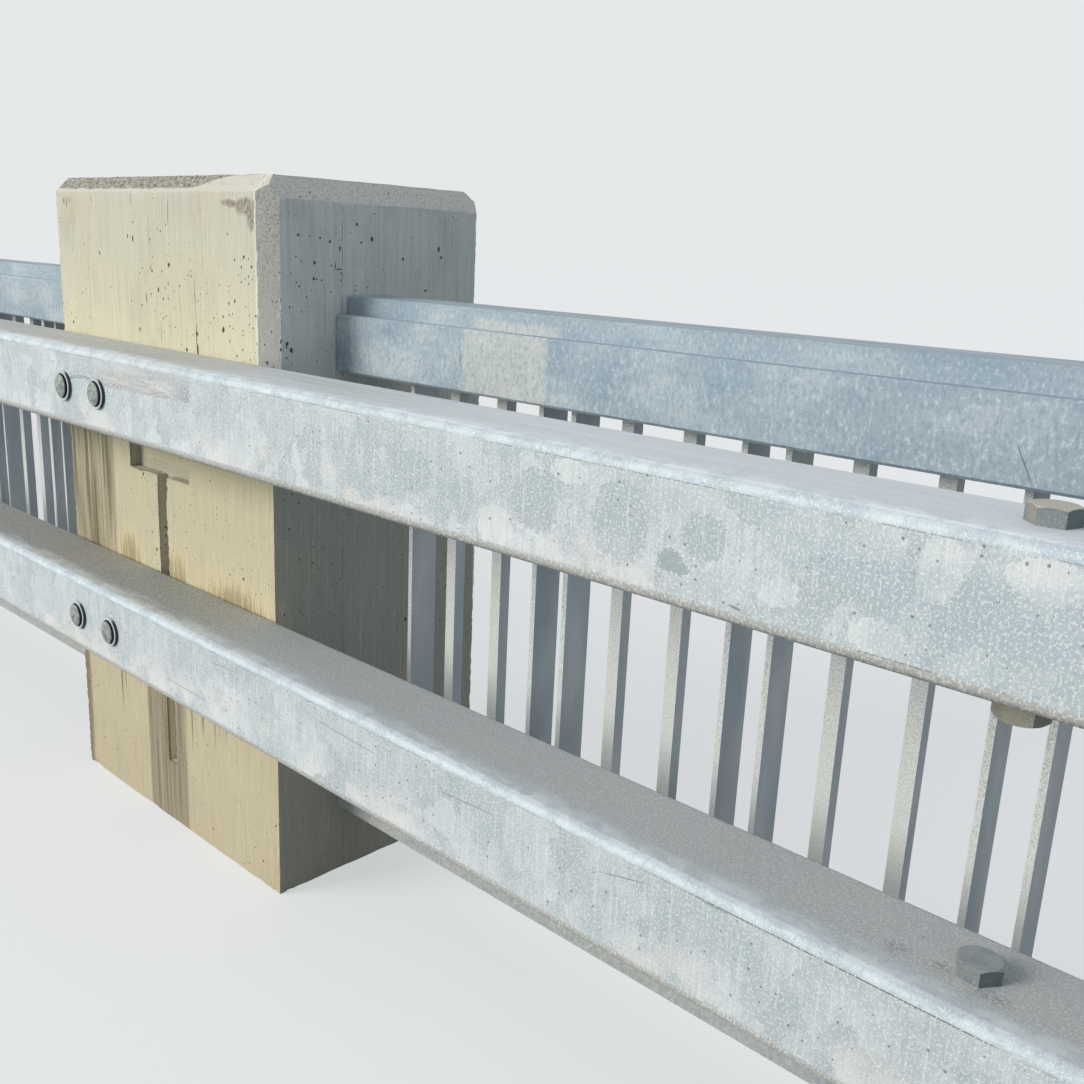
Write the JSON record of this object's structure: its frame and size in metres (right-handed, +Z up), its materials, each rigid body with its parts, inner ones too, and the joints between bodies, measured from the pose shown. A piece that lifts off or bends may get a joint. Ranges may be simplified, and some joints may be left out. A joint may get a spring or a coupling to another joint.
{
  "type": "bridge railing",
  "caption": "Bridge railing of broad concrete posts with two galvanised square tubes bolted to the road face and barred steel panels between the posts.",
  "frame": {"origin": "centre of the middle post's base", "axes": "+X along the railing, -Y towards the road, +Z up"},
  "size_m": [17.92, 0.6474, 1.334],
  "materials": {
    "concrete": "weathered board-marked concrete",
    "galvanised_tube": "weathered hot-dip galvanised",
    "galvanised_rail": "weathered hot-dip galvanised",
    "galvanised_bar": "weathered hot-dip galvanised",
    "sleeve_steel": "galvanised",
    "anchor_steel": "galvanised",
    "hex_bolt_steel": "dull weathered zinc",
    "hex_nut_steel": "dull weathered zinc"
  },
  "bodies": {
    "root": {"post_1": "concrete", "post_2": "concrete", "post_3": "concrete", "post_4": "concrete", "post_5": "concrete", "upper_tube_1": "galvanised_tube", "upper_tube_2": "galvanised_tube", "upper_tube_3": "galvanised_tube", "lower_tube_1": "galvanised_tube", "lower_tube_2": "galvanised_tube", "lower_tube_3": "galvanised_tube", "upper_sleeves": "sleeve_steel", "lower_sleeves": "sleeve_steel", "splice_bolts": "hex_bolt_steel", "splice_nuts": "hex_nut_steel", "top_rail_1": "galvanised_rail", "rail_cap_1": "galvanised_rail", "bottom_rail_1": "galvanised_rail", "flat_bars_1": "galvanised_bar", "square_bars_1": "galvanised_bar", "top_rail_2": "galvanised_rail", "rail_cap_2": "galvanised_rail", "bottom_rail_2": "galvanised_rail", "flat_bars_2": "galvanised_bar", "square_bars_2": "galvanised_bar", "top_rail_3": "galvanised_rail", "rail_cap_3": "galvanised_rail", "bottom_rail_3": "galvanised_rail", "flat_bars_3": "galvanised_bar", "square_bars_3": "galvanised_bar", "top_rail_4": "galvanised_rail", "rail_cap_4": "galvanised_rail", "bottom_rail_4": "galvanised_rail", "flat_bars_4": "galvanised_bar", "square_bars_4": "galvanised_bar", "rail_anchors": "anchor_steel"}
  },
  "joints": []
}
